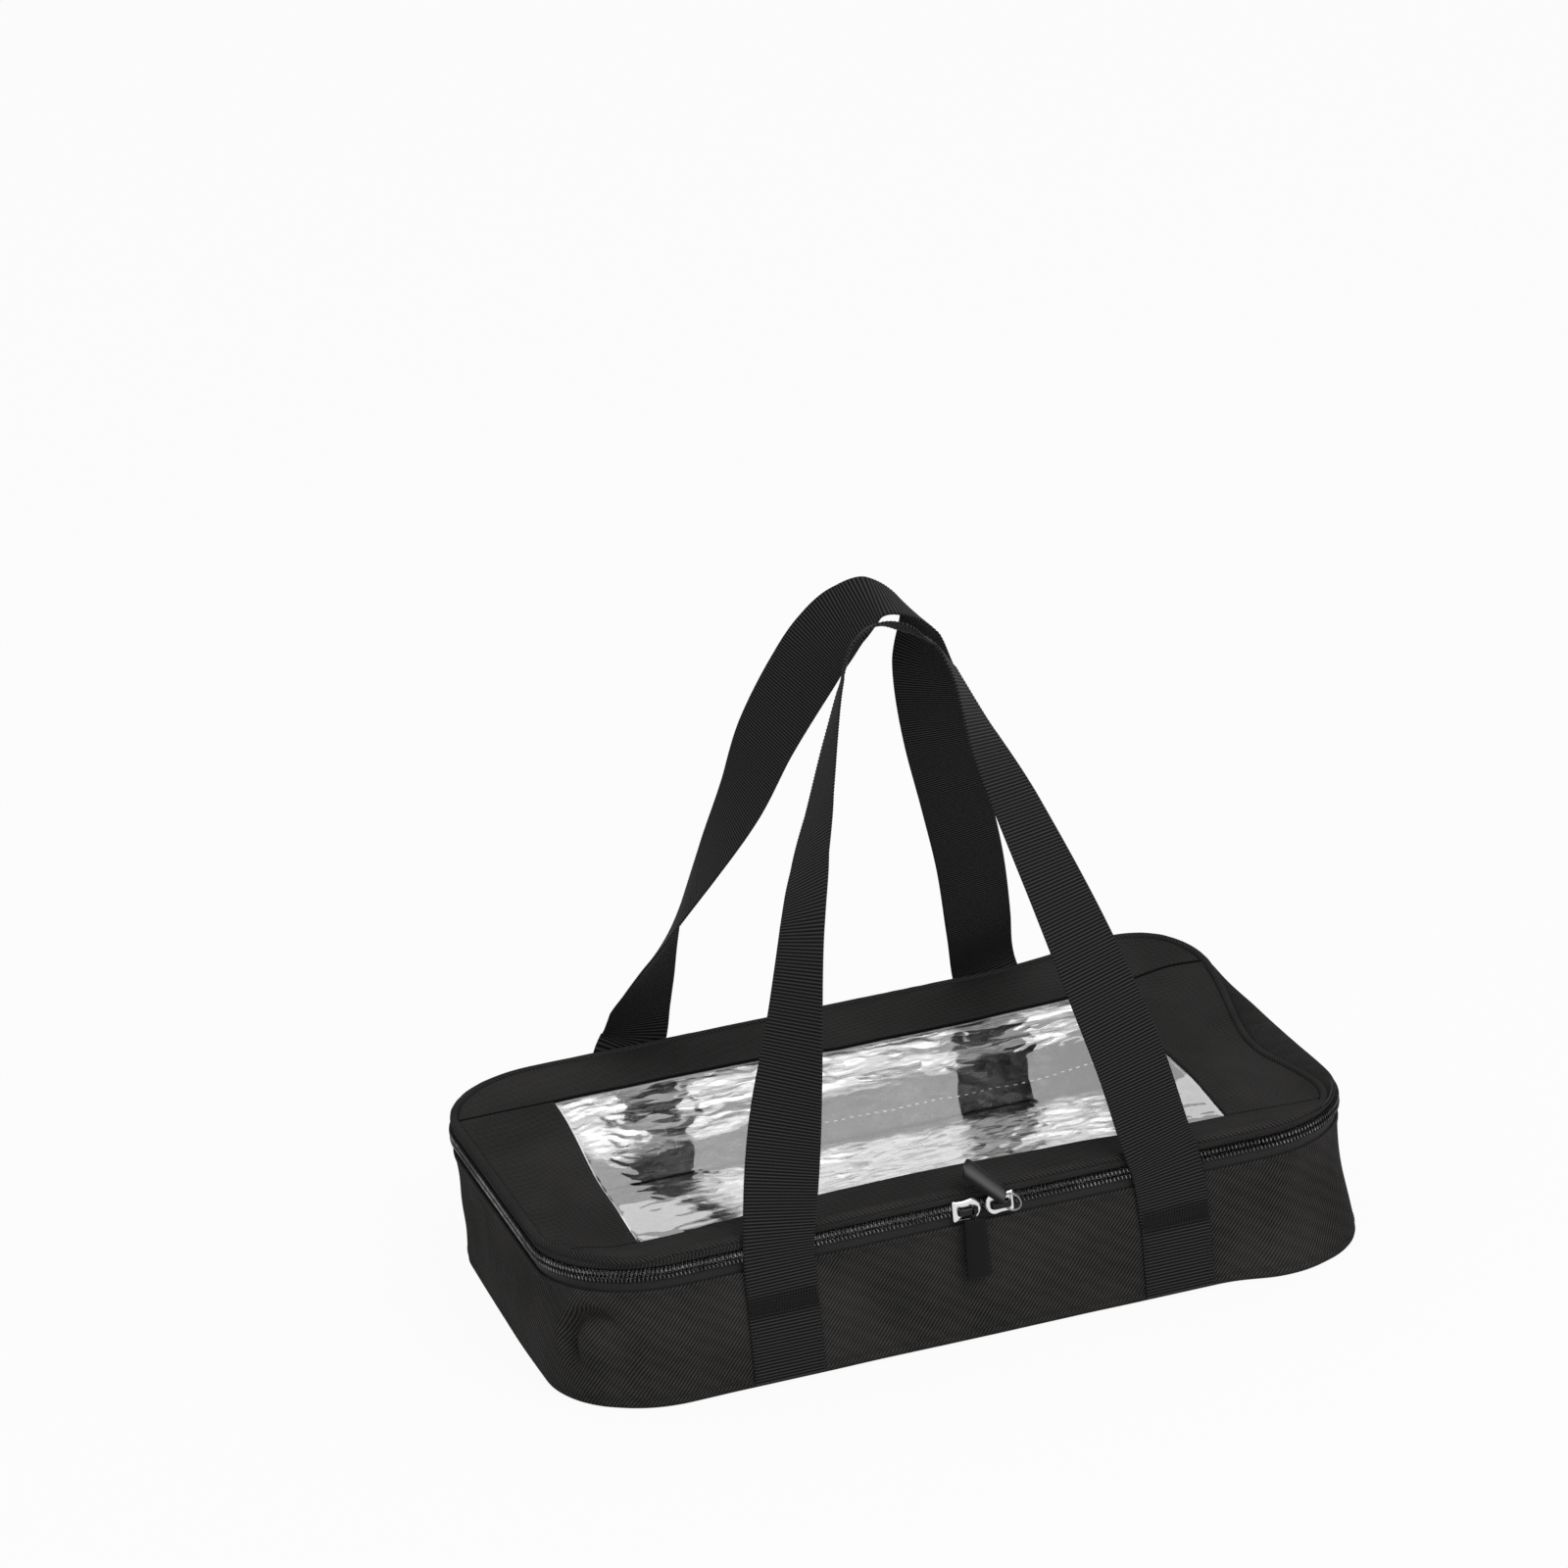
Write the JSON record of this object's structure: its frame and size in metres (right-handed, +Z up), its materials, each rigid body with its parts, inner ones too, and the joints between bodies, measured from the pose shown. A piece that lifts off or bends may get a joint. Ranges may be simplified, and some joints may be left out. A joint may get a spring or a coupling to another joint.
{
  "type": "insulated casserole carrier",
  "caption": "Flat rectangular insulated carrier bag with a zip-round lid, a clear lid window and two long webbing handles gathered above the middle.",
  "frame": {"origin": "middle of the base, on the surface it rests on", "axes": "+X along the length to the right of someone facing the sliders, +Y to the back where the lid is hinged, +Z up"},
  "size_m": [0.4424, 0.3037, 0.3719],
  "materials": {
    "body_cloth": "matt black twill-look polyester",
    "lid_cloth": "matt charcoal polyester",
    "webbing": "black cross-ribbed webbing",
    "thread": "dense black stitching and binding",
    "zip_tape": "black woven tape",
    "zip_coil": "black nylon coil",
    "foam": "closed-cell foam sheet",
    "foil": "crinkled silver foil film",
    "window_film": "clear glossy vinyl film",
    "nickel": "bright nickel plate",
    "dark_metal": "gloss black enamel",
    "grip_rubber": "matt moulded rubber"
  },
  "bodies": {
    "tray": {"base_panel": "body_cloth", "base_foam": "foam", "base_lining": "foil", "wall_fabric": "body_cloth", "wall_foam": "foam", "wall_lining": "foil", "rim_binding": "thread", "lower_zip_tape": "zip_tape", "lower_zip_coil": "zip_coil", "left_zip_stop": "zip_coil", "right_zip_stop": "zip_coil", "hinge_cloth_lower": "lid_cloth", "front_left_anchor": "webbing", "front_right_anchor": "webbing", "back_left_anchor": "webbing", "back_right_anchor": "webbing", "front_left_tack": "thread", "front_right_tack": "thread", "back_left_tack": "thread", "back_right_tack": "thread"},
    "lid": {"lid_front_strip": "lid_cloth", "lid_back_strip": "lid_cloth", "lid_left_panel": "lid_cloth", "lid_right_panel": "lid_cloth", "window_film": "window_film", "lid_foam": "foam", "lid_lining": "foil", "lid_band": "lid_cloth", "lid_piping": "lid_cloth", "hinge_cloth_upper": "lid_cloth", "upper_zip_tape": "zip_tape", "upper_zip_coil": "zip_coil"},
    "front_handle": {"front_handle_webbing": "webbing"},
    "back_handle": {"back_handle_webbing": "webbing"},
    "left_slider": {"left_slider_body": "nickel", "left_slider_crown": "dark_metal"},
    "right_slider": {"right_slider_body": "nickel", "right_slider_crown": "dark_metal"},
    "left_pull": {"left_pull_ring": "nickel", "left_pull_grip": "grip_rubber"},
    "right_pull": {"right_pull_ring": "nickel", "right_pull_grip": "grip_rubber"}
  },
  "joints": [
    {"name": "lid_hinge", "type": "hinge", "parent": "tray", "child": "lid", "pos_m": [0, 0.1402, 0.0755], "axis": [-1, 0, 0], "range_deg": [0, 105]},
    {"name": "front_handle_fold", "type": "hinge", "parent": "tray", "child": "front_handle", "pos_m": [0, -0.1418, 0.04315], "axis": [1, 0, 0], "range_deg": [0, 98]},
    {"name": "back_handle_fold", "type": "hinge", "parent": "tray", "child": "back_handle", "pos_m": [0, 0.1418, 0.04315], "axis": [-1, 0, 0], "range_deg": [0, 105]},
    {"name": "left_slide", "type": "slide", "parent": "tray", "child": "left_slider", "axis": [-1, 0, 0], "range_m": [0, 0.06]},
    {"name": "right_slide", "type": "slide", "parent": "tray", "child": "right_slider", "axis": [1, 0, 0], "range_m": [0, 0.06]},
    {"name": "left_pull_flip", "type": "hinge", "parent": "left_slider", "child": "left_pull", "pos_m": [-0.003, -0.1462, 0.0755], "axis": [-1, 0, 0], "range_deg": [0, 150]},
    {"name": "right_pull_flip", "type": "hinge", "parent": "right_slider", "child": "right_pull", "pos_m": [0.0132, -0.1462, 0.0755], "axis": [1, 0, 0], "range_deg": [0, 150]}
  ],
  "couplings": [
    {"joint": "back_handle_fold", "follows": "lid_hinge", "ratio": 1}
  ]
}
